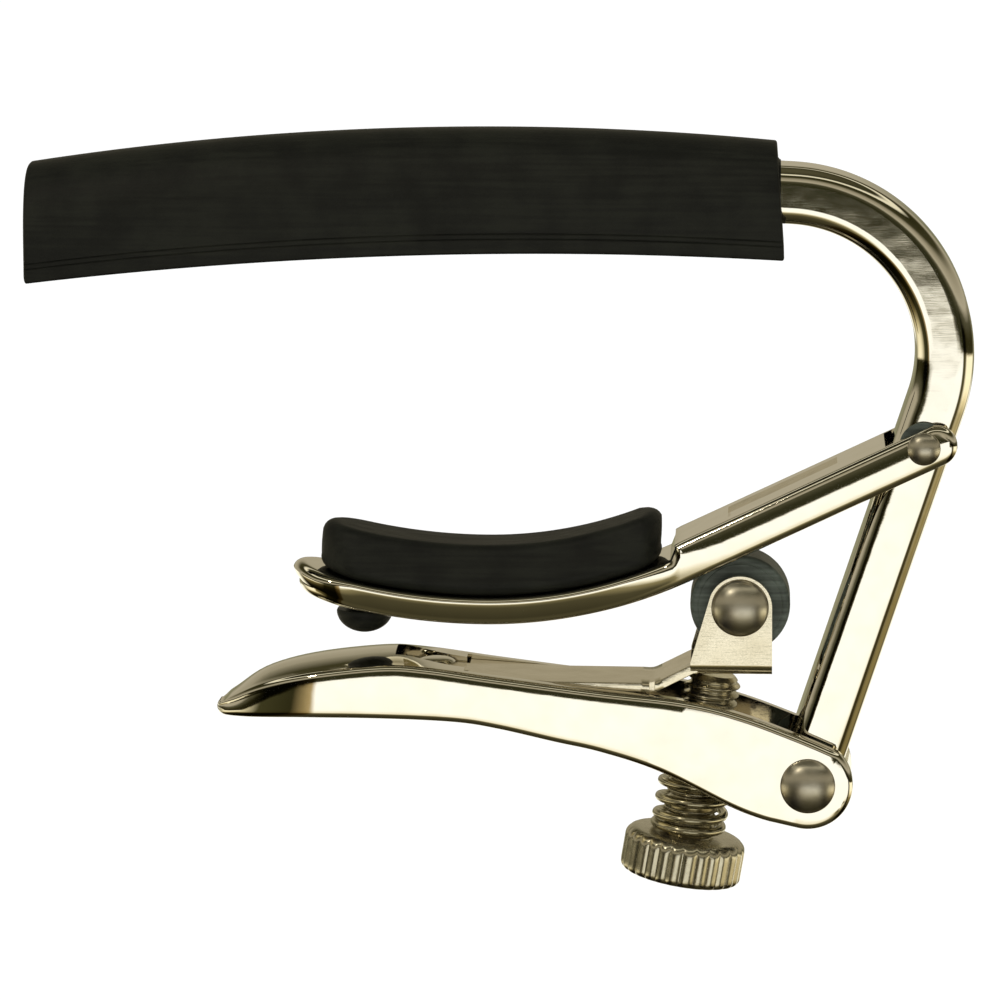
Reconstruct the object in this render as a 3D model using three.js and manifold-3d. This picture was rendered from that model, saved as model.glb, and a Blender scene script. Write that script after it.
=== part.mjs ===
// Lever-action capo for a steel-string guitar, shown clamped shut.
// A sleeved bar lies over the strings, a padded arm presses up behind the neck, and a
// hand lever with a roller on a spring strip drives the arm past centre and locks it.
// Millimetres. +X points along the bar towards its bend, +Z away from the strings, Y across.
// The origin is the lowest point under the crown of the sleeve, where the strings bear.

import * as THREE from 'three';
import { mergeVertices } from 'three/addons/utils/BufferGeometryUtils.js';
import Module from 'manifold-3d';

const wasm = await Module();
wasm.setup();

// ---- driving dimensions -------------------------------------------------------------
const DEG = Math.PI / 180;
const BOW_R = 370;              // radius of the sleeve's underside, along the strings' plane
const SLEEVE = { left: -46.3, topRight: 18.3, lowRight: 19.0, high: 10.5, wide: 10, wall: 4 };
const SLEEVE_TOP = { r: 258, crown: -5.3 };  // the top bows more than the underside
const SLEEVE_GAP = 0.2;         // between the rubber and the bar inside it
const BAR = { deep: 5, wide: 6, lift: 5.35, left: -43.8, edge: 1.2 };
const BEND_R = 13.8;            // centreline of the bar's bend
const LEG_LEAN = 18.1 * DEG;    // the leg leans this far from upright
const LEVER_PIVOT = new THREE.Vector2(21.4, -46.1);
const PIVOT_SPAN = 31.04;       // lever pivot to arm pivot, along the leg

const ARM = { slope: 25.5 * DEG, thick: 3.5, seat: 2.4, wide: 9, edge: 0.5 };
const ARM_LOW_X = -6.5;         // where the arm's underside is lowest
const ARM_RADII = { left: 53, right: 41 };
const ARM_LEFT = -23.1;         // tip of the arm, round in plan
const ARM_SAG = 0.34;           // the arm's middle line passes this far under its pivot
const ARM_END = { ahead: 1.1, r: 1.75 };
const FORK_SLOT = 7.1;          // clear width between the arm's two cheeks
const TRACK = { deep: 0.95, wide: 6, from: -10 * DEG, reach: 14.5 };
const PANEL = { from: 5.2, to: 15.6, wide: 5, deep: 0.25 };

const PAD = { left: -21.2, right: 8.9, topRight: 7.6, thick: 4.3, wide: 8.3, edge: 0.45 };
const PAD_TOP_R = { left: 50, right: 36 };
const PAD_SEAT_GAP = 0.08;
const PLUG = { x: -17.2, r: 1.5, hole: 1.8 };
const NUB = { r: 2.44, low: 1.9 };

const ARM_RIVET = { shank: 1.1, head: 1.43, dome: 0.85, face: 4.55 };
const ARM_WASHER = { bore: 1.2, r: 2.25, inside: 3.06, thick: 0.42 };

const LEVER = { wide: 10, wall: 1.35, eye: 3.9 };
const LEVER_TIP = { x: -30.3, taper: 10.8 };
const SCREW_LEAN = 9.5 * DEG;
const SCREW_FOOT = new THREE.Vector2(11.2, -49.8);   // a point on the screw's axis
const WEB = { under: 4.7, thick: 2.2, right: 16.4 }; // heights along the screw from its foot point
const LEVER_RIVET = { shank: 1.6, head: 2.375, dome: 1.25, face: 5.05 };
const LEVER_WASHER = { bore: 1.7, r: 3.35, inside: 3.08, thick: 0.45 };

const STRIP = { thick: 0.8, wide: 7.1, left: -8.1, tongueLeft: -13.9, tongueWide: 3.8 };
const STRIP_SLOT = { wide: 7.4, left: -8.4, right: -4.9, pocketLeft: -14.4, pocketWide: 4.5 };
const FLEX_ROOM = { left: 0.1, middle: 0.3, right: 0.6 };  // under the strip, so that it can flex
const CLEVIS = { wide: 7.6, sheet: 0.85, left: 11.2, right: 18.25, under: -36.7 };
const ROLLER = { x: 15.45, z: -30.72, r: 4.32, wide: 5, bore: 1.95 };
const EAR_R = 2.75;
const ROLLER_PIN = { shank: 1.25, head: 2.48, dome: 1.35, face: 3.85 };
const BUSH = { bore: 1.3, r: 1.85, wide: 5.8 };
const STRIP_RIVET = {
  x: -11, shank: 0.9, head: 1.7, dome: 0.45, headGap: 0.16, under: -40.95, foot: 1.55, footDome: 0.35,
};

const KNOB = { r: 5.3, top: -1.7, under: -5.5, shoulder: 0.9 };
const SHANK_R = 2.38;
const TIP = { at: 12.75, chamfer: 0.6 };
const SPRING = { r: 3.3, wire: 0.8 };

// ---- derived places -------------------------------------------------------------------
const legUp = new THREE.Vector2(Math.sin(LEG_LEAN), Math.cos(LEG_LEAN));
const legRight = new THREE.Vector2(legUp.y, -legUp.x);
const ARM_PIVOT = LEVER_PIVOT.clone().addScaledVector(legUp, PIVOT_SPAN);
const bow = new THREE.Vector2(0, -BOW_R);
const barR = BOW_R + BAR.lift;
const bendReach = barR - BEND_R;
const bendStart = LEG_LEAN + Math.asin(
  (LEVER_PIVOT.dot(legRight) - BEND_R - BOW_R * Math.sin(LEG_LEAN)) / bendReach);
const bend = new THREE.Vector2(
  bendReach * Math.sin(bendStart), -BOW_R + bendReach * Math.cos(bendStart));

const armAlong = new THREE.Vector2(Math.cos(ARM.slope), Math.sin(ARM.slope));
const armUp = new THREE.Vector2(-armAlong.y, armAlong.x);
const armUnderside = ARM_PIVOT.clone().addScaledVector(armUp, -ARM_SAG - ARM.thick / 2);
const tangentX = ARM_LOW_X + ARM_RADII.right * Math.sin(ARM.slope);
const tangentZ = armUnderside.y + (tangentX - armUnderside.x) * Math.tan(ARM.slope);
const armTangent = new THREE.Vector2(tangentX, tangentZ);
const ARM_LOW_Z = tangentZ - ARM_RADII.right * (1 - Math.cos(ARM.slope));

const screwUp = new THREE.Vector2(Math.sin(SCREW_LEAN), Math.cos(SCREW_LEAN));
const screwRight = new THREE.Vector2(screwUp.y, -screwUp.x);

// ---- outlines in the XZ plane ---------------------------------------------------------
const at = (x, z) => new THREE.Vector2(x, z);
const from = (base, right, up, r, u) =>
  base.clone().addScaledVector(right, r).addScaledVector(up, u);

// points of a round stretch, angles from +X
function arc(centre, r, start, end, steps) {
  const points = [];
  for (let i = 0; i <= steps; i++) {
    const a = start + (end - start) * i / steps;
    points.push(at(centre.x + r * Math.cos(a), centre.y + r * Math.sin(a)));
  }
  return points;
}

const smooth = (points, steps) => new THREE.SplineCurve(points).getPoints(steps);

// the arm's lower face, raised by lift; turn 0 is its lowest point
function armFace(lift, fromTurn, toTurn, steps) {
  const points = [];
  for (let i = 0; i <= steps; i++) {
    const turn = fromTurn + (toTurn - fromTurn) * i / steps;
    const r = turn < 0 ? ARM_RADII.left : ARM_RADII.right;
    points.push(at(ARM_LOW_X + (r - lift) * Math.sin(turn),
      ARM_LOW_Z + r - (r - lift) * Math.cos(turn)));
  }
  return points;
}

function barOutline(grow, left) {
  const half = BAR.deep / 2 + grow;
  const leftTurn = Math.PI / 2 - Math.asin(left / barR);
  const bendTurn = Math.PI / 2 - bendStart;
  return [
    ...arc(bow, barR + half, leftTurn, bendTurn, 12),
    ...arc(bend, BEND_R + half, bendTurn, -LEG_LEAN, 16).slice(1),
    ...arc(LEVER_PIVOT, half, -LEG_LEAN, -LEG_LEAN - Math.PI, 10),
    ...arc(bend, BEND_R - half, -LEG_LEAN, bendTurn, 16),
    ...arc(bow, barR - half, bendTurn, leftTurn, 12).slice(1),
  ];
}

// ---- solids ---------------------------------------------------------------------------
// a flat plate of the outline, wide along Y about y = middle, its rims rounded by edge
function plate(points, wide, edge = 0, middle = 0) {
  const shape = new THREE.Shape(points);
  const geometry = new THREE.ExtrudeGeometry(shape, {
    depth: wide - 2 * edge, steps: 1, curveSegments: 1,
    bevelEnabled: edge > 0, bevelThickness: edge, bevelSize: edge, bevelOffset: -edge,
    bevelSegments: 2,
  });
  geometry.rotateX(Math.PI / 2);
  return geometry.translate(0, middle + wide / 2 - edge, 0);
}

// a turned body; the profile is [radius, height] pairs along +Y
function turned(profile, segments = 32) {
  return new THREE.LatheGeometry(profile.map(([r, y]) => at(r, y)), segments);
}

const ring = (bore, r, low, high, segments) =>
  turned([[bore, low], [r, low], [r, high], [bore, high], [bore, low]], segments);

const rod = (r, low, high, segments) =>
  turned([[0, low], [r, low], [r, high], [0, high]], segments);

const onPivot = (geometry, pivot) => geometry.translate(pivot.x, 0, pivot.y);

// stands a body turned about Y on the screw's axis
const onScrew = (geometry) => geometry
  .rotateX(Math.PI / 2).rotateY(SCREW_LEAN).translate(SCREW_FOOT.x, 0, SCREW_FOOT.y);

// a shank between two domed heads, each head seated at y = +-face
function rivet({ shank, head, dome, face }) {
  const cap = [];
  for (let i = 0; i <= 6; i++) {
    const a = i / 6 * Math.PI / 2;
    cap.push([head * Math.cos(a), face + dome * Math.sin(a)]);
  }
  cap[6][0] = 0;
  const lower = cap.map(([r, y]) => [r, -y]).reverse();
  return turned([...lower, [shank, -face], [shank, face], ...cap], 28);
}

// ---- joining and cutting --------------------------------------------------------------
function solid(geometry) {
  const bare = geometry.clone();
  bare.deleteAttribute('normal');
  bare.deleteAttribute('uv');
  const merged = mergeVertices(bare, 1e-4);
  return new wasm.Manifold(new wasm.Mesh({
    numProp: 3,
    vertProperties: new Float32Array(merged.attributes.position.array),
    triVerts: new Uint32Array(merged.index.array),
  }));
}

function surface(body) {
  const mesh = body.getMesh();
  const geometry = new THREE.BufferGeometry();
  geometry.setAttribute('position', new THREE.BufferAttribute(mesh.vertProperties, 3));
  geometry.setIndex(new THREE.BufferAttribute(mesh.triVerts, 1));
  geometry.computeVertexNormals();
  return geometry;
}

const cut = (geometry, ...tools) =>
  surface(tools.reduce((body, tool) => body.subtract(solid(tool)), solid(geometry)));

// ---- frame bar and its rubber sleeve --------------------------------------------------
function frameBar() {
  const bores = [
    onPivot(rod(ARM_RIVET.shank + 0.08, -BAR.wide, BAR.wide, 28), ARM_PIVOT),
    onPivot(rod(LEVER_RIVET.shank + 0.08, -BAR.wide, BAR.wide, 28), LEVER_PIVOT),
  ];
  return cut(plate(barOutline(0, BAR.left), BAR.wide, BAR.edge), ...bores);
}

function barSleeve() {
  const topArc = at(SLEEVE_TOP.crown, SLEEVE.high - SLEEVE_TOP.r);
  const turn = (x, r) => Math.PI / 2 - Math.asin(x / r);
  const topTurn = (x) => turn(x - SLEEVE_TOP.crown, SLEEVE_TOP.r);
  const topEdge = arc(topArc, SLEEVE_TOP.r, topTurn(SLEEVE.left + 1), topTurn(SLEEVE.topRight), 14);
  const lowEdge = arc(bow, BOW_R, turn(SLEEVE.lowRight, BOW_R), turn(SLEEVE.left + 1.6, BOW_R), 14);
  const leftEnd = [at(SLEEVE.left + 0.5, -2.1), at(SLEEVE.left, 3), at(SLEEVE.left + 0.35, 5.5)];
  const side = plate([...lowEdge, ...leftEnd, ...topEdge], SLEEVE.wide + 2);

  // flat-based arch section, its first axis across and its second down
  const half = SLEEVE.wide / 2;
  const crown = arc(at(0, 0), 1, Math.PI, 2 * Math.PI, 14)
    .map((p) => at(p.x * half, p.y * (SLEEVE.high - SLEEVE.wall) - SLEEVE.wall));
  const section = new THREE.Shape([...crown, at(half, -0.5), at(half - 0.5, 0),
    at(0.5 - half, 0), at(-half, -0.5)]);
  const run = new THREE.CatmullRomCurve3(
    arc(bow, BOW_R, turn(-50, BOW_R), turn(22, BOW_R), 14)
      .map((p) => new THREE.Vector3(p.x, 0, p.y)));
  const arch = new THREE.ExtrudeGeometry(section, { steps: 18, extrudePath: run });
  const hollow = plate(barOutline(SLEEVE_GAP, BAR.left - 0.3), BAR.wide + 2 * SLEEVE_GAP);
  return surface(solid(arch).intersect(solid(side)).subtract(solid(hollow)));
}

// ---- arm behind the neck --------------------------------------------------------------
// a prism standing on its plan outline in XY
function tower(points, low, high) {
  const shape = new THREE.Shape(points);
  return new THREE.ExtrudeGeometry(shape, { depth: high - low, steps: 1, bevelEnabled: false })
    .translate(0, 0, low);
}

// a plan outline with straight sides and a rounded left end, taper long
const roundLeft = (left, taper, wide, right) => [
  ...arc(at(0, 0), 1, Math.PI / 2, 3 * Math.PI / 2, 20)
    .map((p) => at(left + taper + p.x * taper, p.y * wide / 2)),
  at(right, -wide / 2), at(right, wide / 2),
];

function neckArm() {
  const leftTurn = Math.asin((ARM_LEFT - ARM_LOW_X) / ARM_RADII.left);
  const end = from(ARM_PIVOT, armAlong, armUp, ARM_END.ahead, -ARM_SAG);
  const outline = [
    ...armFace(0, leftTurn, ARM.slope, 30),
    ...arc(end, ARM_END.r, ARM.slope - Math.PI / 2, ARM.slope + Math.PI / 2, 12),
    from(armTangent, armAlong, armUp, 0.1, ARM.thick),
    ...armFace(ARM.seat, ARM.slope, leftTurn, 30),
  ];
  const onArm = (along, up) => from(ARM_PIVOT, armAlong, armUp, along, up);
  const slot = [onArm(-9.57, -4), onArm(8, -4), onArm(8, 4), onArm(0.2, 4)];
  const track = [
    ...armFace(TRACK.deep, TRACK.from, ARM.slope, 16),
    from(armTangent, armAlong, armUp, TRACK.reach, TRACK.deep),
    from(armTangent, armAlong, armUp, TRACK.reach, -1),
    ...armFace(-1, ARM.slope, TRACK.from, 16),
  ];
  const panelFloor = ARM.thick - PANEL.deep;
  const onTop = (along, up) => from(armTangent, armAlong, armUp, along, up);
  const panel = [
    onTop(PANEL.from, panelFloor), onTop(PANEL.to, panelFloor),
    onTop(PANEL.to, ARM.thick + 1), onTop(PANEL.from, ARM.thick + 1),
  ];
  const body = solid(plate(outline, ARM.wide, ARM.edge))
    .intersect(solid(tower(roundLeft(ARM_LEFT, ARM.wide / 2, ARM.wide, 40), -45, -5)));
  return cut(surface(body),
    plate(slot, FORK_SLOT), plate(track, TRACK.wide), plate(panel, PANEL.wide),
    onPivot(rod(ARM_RIVET.shank + 0.08, -8, 8, 28), ARM_PIVOT),
    rod(PLUG.hole, -8, 8, 24).rotateX(Math.PI / 2).translate(PLUG.x, 0, -30));
}

function neckPad() {
  const turnAt = (x, r) => Math.asin((x - ARM_LOW_X) / r);
  const seat = ARM.seat + PAD_SEAT_GAP;
  const lowLeft = turnAt(PAD.left, ARM_RADII.left - seat);
  const lowRight = turnAt(PAD.right, ARM_RADII.right - seat);
  const topLow = at(ARM_LOW_X, ARM_LOW_Z + seat + PAD.thick);
  const crown = (x, r) => at(x, topLow.y + r - Math.sqrt(r * r - (x - topLow.x) ** 2));
  const top = [PAD.topRight, 5.5, 2, -2, ARM_LOW_X].map((x) => crown(x, PAD_TOP_R.right));
  const topLeft = [-10, -14, -18, PAD.left + 0.7].map((x) => crown(x, PAD_TOP_R.left));
  const outline = [...armFace(seat, lowLeft, lowRight, 24), ...top, ...topLeft];
  const plan = tower(roundLeft(PAD.left, PAD.wide / 2, PAD.wide, 20), -45, -5);
  const block = solid(plate(outline, PAD.wide, PAD.edge)).intersect(solid(plan));
  const nubTop = ARM_LOW_Z + (PLUG.x - ARM_LOW_X) ** 2 / (2 * ARM_RADII.left) - 0.6;
  const nub = [];
  for (let i = 0; i <= 6; i++) {
    const a = i / 6 * Math.PI / 2;
    nub.push([NUB.r * Math.sin(a), -NUB.low * Math.cos(a)]);
  }
  nub[0][0] = 0;
  const stem = turned([...nub, [NUB.r, 0.1], [PLUG.r, 0.1], [PLUG.r, 5], [0, 5]], 24)
    .rotateX(Math.PI / 2).translate(PLUG.x, 0, nubTop);
  return surface(block.add(solid(stem)));
}

// ---- hand lever -----------------------------------------------------------------------
const LEVER_TOP = [
  at(-29.9, -40.1), at(-26.1, -38.05), at(-21.8, -36.75), at(-15.5, -35.9), at(-11.5, -36.05),
  at(-6, -36.8), at(2.8, -37.9), at(10.6, -38.75), at(15.6, -39.95), at(20.5, -41.75),
  at(23.95, -43.2),
];
const LEVER_UNDER = [
  at(19.0, -49.55), at(17.4, -49.15), at(14.7, -48.1), at(8.6, -45.05), at(3.6, -43.4),
  at(-0.5, -42.5), at(-5.4, -41.4), at(-9.1, -40.85), at(-15.3, -40.6), at(-22.7, -40.6),
  at(-28.8, -40.95),
];

function handLever() {
  const outline = [
    ...smooth(LEVER_TOP, 40),
    ...arc(LEVER_PIVOT, LEVER.eye, 47 * DEG, -105 * DEG, 16),
    ...smooth(LEVER_UNDER, 36),
    at(-30.0, -40.75), at(LEVER_TIP.x, -40.4),
  ];
  const inside = LEVER.wide - 2 * LEVER.wall;
  const onWeb = (right, up) => from(SCREW_FOOT, screwRight, screwUp, right, up);
  const webTop = WEB.under + WEB.thick;
  const channel = [
    at(-5, -30), at(-5, -38.6), at(-1.5, -39.9), onWeb(-7, webTop + 0.6), onWeb(-4.2, webTop),
    at(WEB.right, onWeb(4.2, webTop).y), at(WEB.right, -60), at(30, -60), at(30, -30),
  ];
  const pocket = [
    onWeb(-9, WEB.under), onWeb(12, WEB.under), at(30, -60), at(2, -60),
  ];
  const floor = (x, extra) => at(x, stripTop(x) - STRIP.thick - extra);
  const slot = [
    floor(STRIP_SLOT.left, FLEX_ROOM.middle), floor(STRIP_SLOT.right, FLEX_ROOM.right),
    at(STRIP_SLOT.right, -30),
    at(STRIP_SLOT.left, -30),
  ];
  const tonguePocket = [
    floor(STRIP_SLOT.pocketLeft, FLEX_ROOM.left), floor(STRIP_SLOT.left + 0.1, FLEX_ROOM.middle),
    at(STRIP_SLOT.left + 0.1, -30), at(STRIP_SLOT.pocketLeft, -30),
  ];
  const plan = tower(roundLeft(LEVER_TIP.x, LEVER_TIP.taper, LEVER.wide, 40), -70, -20);
  const body = solid(plate(outline, LEVER.wide)).intersect(solid(plan));
  const hole = STRIP_RIVET.shank + 0.08;
  return cut(surface(body),
    plate(channel, inside), plate(pocket, inside),
    plate(slot, STRIP_SLOT.wide), plate(tonguePocket, STRIP_SLOT.pocketWide),
    onPivot(rod(LEVER_RIVET.shank + 0.08, -8, 8, 28), LEVER_PIVOT),
    onScrew(rod(SHANK_R + 0.1, 0, 9, 32)),
    rod(hole, -8, 8, 20).rotateX(Math.PI / 2).translate(STRIP_RIVET.x, 0, -38));
}

// ---- spring strip bent up into the roller's clevis --------------------------------------
const STRIP_KNEE = at(7.9, -37.45);
const CLEVIS_HEEL = at(CLEVIS.left, CLEVIS.under + CLEVIS.sheet);

// height of the strip's upper face along the flat part
function stripTop(x) {
  const t = Math.min(1, Math.max(0, (x - STRIP.tongueLeft) / (-0.8 - STRIP.tongueLeft)));
  return -36.55 - 0.85 * t - 0.05 * Math.max(0, (x + 0.8) / 8.7);
}

function rollerCarrier() {
  const xs = [STRIP.left, -5.5, -3, -0.8, 3.5];
  const upper = [...xs.map((x) => at(x, stripTop(x))), STRIP_KNEE, CLEVIS_HEEL,
    at(CLEVIS.right, CLEVIS_HEEL.y)];
  const lower = [at(CLEVIS.right, CLEVIS.under), at(CLEVIS.left + 0.2, CLEVIS.under),
    at(STRIP_KNEE.x + 0.2, STRIP_KNEE.y - STRIP.thick),
    ...xs.map((x) => at(x, stripTop(x) - STRIP.thick)).reverse()];
  const strip = solid(plate([...lower, ...upper], STRIP.wide));
  const tx = [STRIP.tongueLeft, STRIP_RIVET.x, STRIP.left + 0.6];
  const tongue = solid(plate([
    ...tx.map((x) => at(x, stripTop(x) - STRIP.thick)),
    ...tx.map((x) => at(x, stripTop(x))).reverse()], STRIP.tongueWide));
  const ear = [
    at(CLEVIS.left, CLEVIS.under + 0.5), at(CLEVIS.left + 0.5, CLEVIS.under),
    at(CLEVIS.right - 0.5, CLEVIS.under), at(CLEVIS.right, CLEVIS.under + 0.5),
    ...arc(at(ROLLER.x, ROLLER.z), EAR_R, 0, 158 * DEG, 14),
  ];
  const middle = (CLEVIS.wide - CLEVIS.sheet) / 2;
  const base = [at(CLEVIS.left, CLEVIS.under), at(CLEVIS.right, CLEVIS.under),
    at(CLEVIS.right, CLEVIS_HEEL.y), at(CLEVIS.left, CLEVIS_HEEL.y)];
  const whole = strip.add(tongue)
    .add(solid(plate(base, CLEVIS.wide - 0.4)))
    .add(solid(plate(ear, CLEVIS.sheet, 0, middle)))
    .add(solid(plate(ear, CLEVIS.sheet, 0, -middle)));
  const roller = at(ROLLER.x, ROLLER.z);
  return cut(surface(whole),
    onPivot(rod(ROLLER_PIN.shank + 0.05, -8, 8, 28), roller),
    rod(STRIP_RIVET.shank + 0.08, -8, 8, 20).rotateX(Math.PI / 2)
      .translate(STRIP_RIVET.x, 0, -37));
}

function carrierRivet() {
  const { x, shank, head, dome, headGap, under, foot, footDome } = STRIP_RIVET;
  const seat = stripTop(x - head) + headGap;
  return turned([
    [0, under - footDome - 0.1], [foot * 0.7, under - footDome], [foot, under],
    [shank, under], [shank, seat], [head, seat], [head * 0.75, seat + dome * 0.8],
    [0, seat + dome],
  ], 24).rotateX(Math.PI / 2).translate(x, 0, 0);
}

// ---- adjuster -------------------------------------------------------------------------
function thumbscrew() {
  const s = KNOB.shoulder;
  return onScrew(turned([
    [0, KNOB.under], [KNOB.r - s, KNOB.under], [KNOB.r - 0.3 * s, KNOB.under + 0.3 * s],
    [KNOB.r, KNOB.under + s], [KNOB.r, KNOB.top - s], [KNOB.r - 0.3 * s, KNOB.top - 0.3 * s],
    [KNOB.r - s, KNOB.top], [SHANK_R, KNOB.top], [SHANK_R, TIP.at - TIP.chamfer],
    [SHANK_R - TIP.chamfer, TIP.at], [0, TIP.at],
  ], 48));
}

const adjusterSpring = () =>
  onScrew(ring(SPRING.r - SPRING.wire, SPRING.r, KNOB.top + 0.05, WEB.under - 0.05, 28));

// ---- assembly -------------------------------------------------------------------------
const nickel = { color: 0xd8d2c2, roughness: 0.2, metalness: 1 };
const rubber = { color: 0x1c1f18, roughness: 0.75, metalness: 0 };
const steel = { color: 0xb9b6ab, roughness: 0.3, metalness: 1 };
const nylon = { color: 0x20221f, roughness: 0.5, metalness: 0 };

const capo = new THREE.Group();
function place(name, geometry, finish) {
  const mesh = new THREE.Mesh(geometry, new THREE.MeshStandardMaterial(finish));
  mesh.name = name;
  capo.add(mesh);
}

const roller = at(ROLLER.x, ROLLER.z);
place('frame_bar', frameBar(), nickel);
place('bar_sleeve', barSleeve(), rubber);
place('neck_arm', neckArm(), nickel);
place('neck_pad', neckPad(), rubber);
place('arm_pivot_rivet', onPivot(rivet(ARM_RIVET), ARM_PIVOT), steel);
place('lever', handLever(), nickel);
place('lever_pivot_rivet', onPivot(rivet(LEVER_RIVET), LEVER_PIVOT), steel);
for (const [side, sign] of [['near', -1], ['far', 1]]) {
  const washer = ({ bore, r, inside, thick }) => {
    const ends = [sign * inside, sign * (inside + thick)];
    return ring(bore, r, Math.min(...ends), Math.max(...ends), 28);
  };
  place(`arm_washer_${side}`, onPivot(washer(ARM_WASHER), ARM_PIVOT), nylon);
  place(`lever_washer_${side}`, onPivot(washer(LEVER_WASHER), LEVER_PIVOT), nylon);
}
place('roller_carrier', rollerCarrier(), steel);
place('carrier_rivet', carrierRivet(), steel);
place('roller', onPivot(ring(ROLLER.bore, ROLLER.r, -ROLLER.wide / 2, ROLLER.wide / 2, 48),
  roller), nylon);
place('roller_pin', onPivot(rivet(ROLLER_PIN), roller), steel);
place('roller_bush', onPivot(ring(BUSH.bore, BUSH.r, -BUSH.wide / 2, BUSH.wide / 2, 28),
  roller), steel);
place('thumbscrew', thumbscrew(), nickel);
place('adjuster_spring', adjusterSpring(), steel);

export default capo;
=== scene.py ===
import math

import bmesh
import bpy
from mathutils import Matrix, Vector


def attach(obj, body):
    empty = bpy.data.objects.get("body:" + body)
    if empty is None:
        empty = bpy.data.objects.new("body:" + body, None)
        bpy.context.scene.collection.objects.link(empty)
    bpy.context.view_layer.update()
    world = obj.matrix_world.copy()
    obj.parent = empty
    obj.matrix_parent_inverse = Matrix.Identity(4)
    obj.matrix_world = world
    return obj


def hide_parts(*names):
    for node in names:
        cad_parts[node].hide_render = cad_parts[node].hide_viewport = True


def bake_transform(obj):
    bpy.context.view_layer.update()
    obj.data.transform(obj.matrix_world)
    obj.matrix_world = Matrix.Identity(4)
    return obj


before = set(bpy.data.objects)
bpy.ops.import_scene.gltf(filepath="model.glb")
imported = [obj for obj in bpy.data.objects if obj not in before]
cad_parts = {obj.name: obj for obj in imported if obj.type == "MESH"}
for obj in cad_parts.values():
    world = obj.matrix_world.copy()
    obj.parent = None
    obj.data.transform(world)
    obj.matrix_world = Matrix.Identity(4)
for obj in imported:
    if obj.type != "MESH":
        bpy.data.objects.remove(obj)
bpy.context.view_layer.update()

# ---- camera ---------------------------------------------------------------------------
# A long lens half a metre away, a little to the right of square on and a little above.
MM = 0.001
AIM = Vector((-5.42, 0, -22.11)) * MM
AZIMUTH, ELEVATION = math.radians(2.6), math.radians(10)
DISTANCE, LENS_MM = 0.5, 207.7

camera = bpy.data.objects.new("camera", bpy.data.cameras.new("camera"))
camera.data.lens = LENS_MM
camera.data.sensor_width = 36
camera.data.clip_start, camera.data.clip_end = 0.01, 50
away = Vector((math.sin(AZIMUTH) * math.cos(ELEVATION),
               -math.cos(AZIMUTH) * math.cos(ELEVATION), math.sin(ELEVATION)))
camera.location = AIM + away * DISTANCE
camera.rotation_euler = away.to_track_quat("Z", "Y").to_euler()
bpy.context.scene.collection.objects.link(camera)
bpy.context.scene.camera = camera
bpy.context.scene.view_settings.view_transform = "Standard"


# ---- studio ---------------------------------------------------------------------------
# A white cove lights everything evenly. What the polished metal mirrors is a room of
# cream panels at table height in front, dark gaps above and below, and a grey wall behind.
def colour(code):
    """linear RGBA from an sRGB hex code"""
    parts = [int(code[i:i + 2], 16) / 255 for i in (1, 3, 5)]
    return (*(c / 12.92 if c <= 0.04045 else ((c + 0.055) / 1.055) ** 2.4 for c in parts), 1)


def add(tree, kind, settings=None, **links):
    """adds a node: settings by attribute, links or values by socket name"""
    made = tree.nodes.new(kind)
    for key, value in (settings or {}).items():
        setattr(made, key, value)
    for socket, value in links.items():
        slot = made.inputs[int(socket[1:]) if socket[1:].isdigit() else socket.replace("_", " ")]
        if isinstance(value, bpy.types.NodeSocket):
            tree.links.new(value, slot)
        else:
            slot.default_value = value
    return made


def stops(ramp, *pairs):
    """a colour ramp's stops, as (position, hex code)"""
    band = ramp.color_ramp
    while len(band.elements) > 1:
        band.elements.remove(band.elements[-1])
    band.elements[0].position, band.elements[0].color = pairs[0][0], colour(pairs[0][1])
    for place, code in pairs[1:]:
        band.elements.new(place).color = colour(code)
    return ramp.outputs["Color"]


# FRONT and BACK run from straight down, 0, to straight up, 1; SIDES from left to right
FRONT = [(0, "#2b2819"), (0.19, "#46412c"), (0.27, "#837956"), (0.315, "#e4dcc0"),
         (0.345, "#fffdf0"), (0.4275, "#fffef6"), (0.431, "#a8a186"), (0.4345, "#2b2a19"),
         (0.47, "#2b2a19"), (0.52, "#4a4734"), (0.56, "#a39b86"), (0.66, "#8c8570"),
         (0.74, "#37341f"), (0.84, "#26240f"), (0.865, "#ded7bd"), (0.89, "#ded7bd"),
         (0.915, "#2c2a18"), (1, "#4a4632")]
BACK = [(0, "#2b2819"), (0.2, "#5a5236"), (0.3, "#f3ecd2"), (0.37, "#fffbea"),
        (0.40, "#8b876c"), (0.48, "#6f6c52"), (0.55, "#a09883"), (0.68, "#8f8873"),
        (0.78, "#37341f"), (1, "#4a4632")]
SIDES = [(0, "#fff6dc"), (0.08, "#b9b196"), (0.15, "#3a3822"), (0.3, "#2b2917"),
         (0.37, "#a39068"), (0.39, "#ffffff"), (0.72, "#ffffff"), (0.76, "#4a452e"),
         (0.86, "#4a452e"), (0.93, "#fff6dc")]
ROOM_GLOW = 1.3

world = bpy.data.worlds.new("studio")
bpy.context.scene.world = world
world.use_nodes = True
sky = world.node_tree
sky.nodes.clear()
ray = add(sky, "ShaderNodeTexCoord").outputs["Generated"]
axes = add(sky, "ShaderNodeSeparateXYZ", Vector=ray).outputs
upward = add(sky, "ShaderNodeMapRange", Value=axes["Z"], From_Min=-1, From_Max=1).outputs[0]
across = add(sky, "ShaderNodeMapRange", Value=axes["X"], From_Min=-1, From_Max=1).outputs[0]
behind = add(sky, "ShaderNodeMapRange", {"interpolation_type": "SMOOTHSTEP"},
             Value=axes["Y"], From_Min=0.5, From_Max=0.8).outputs[0]
low = add(sky, "ShaderNodeMapRange", {"interpolation_type": "SMOOTHSTEP"},
          Value=axes["Z"], From_Min=0.02, From_Max=-0.06).outputs[0]
front = stops(add(sky, "ShaderNodeValToRGB", Fac=upward), *FRONT)
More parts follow.
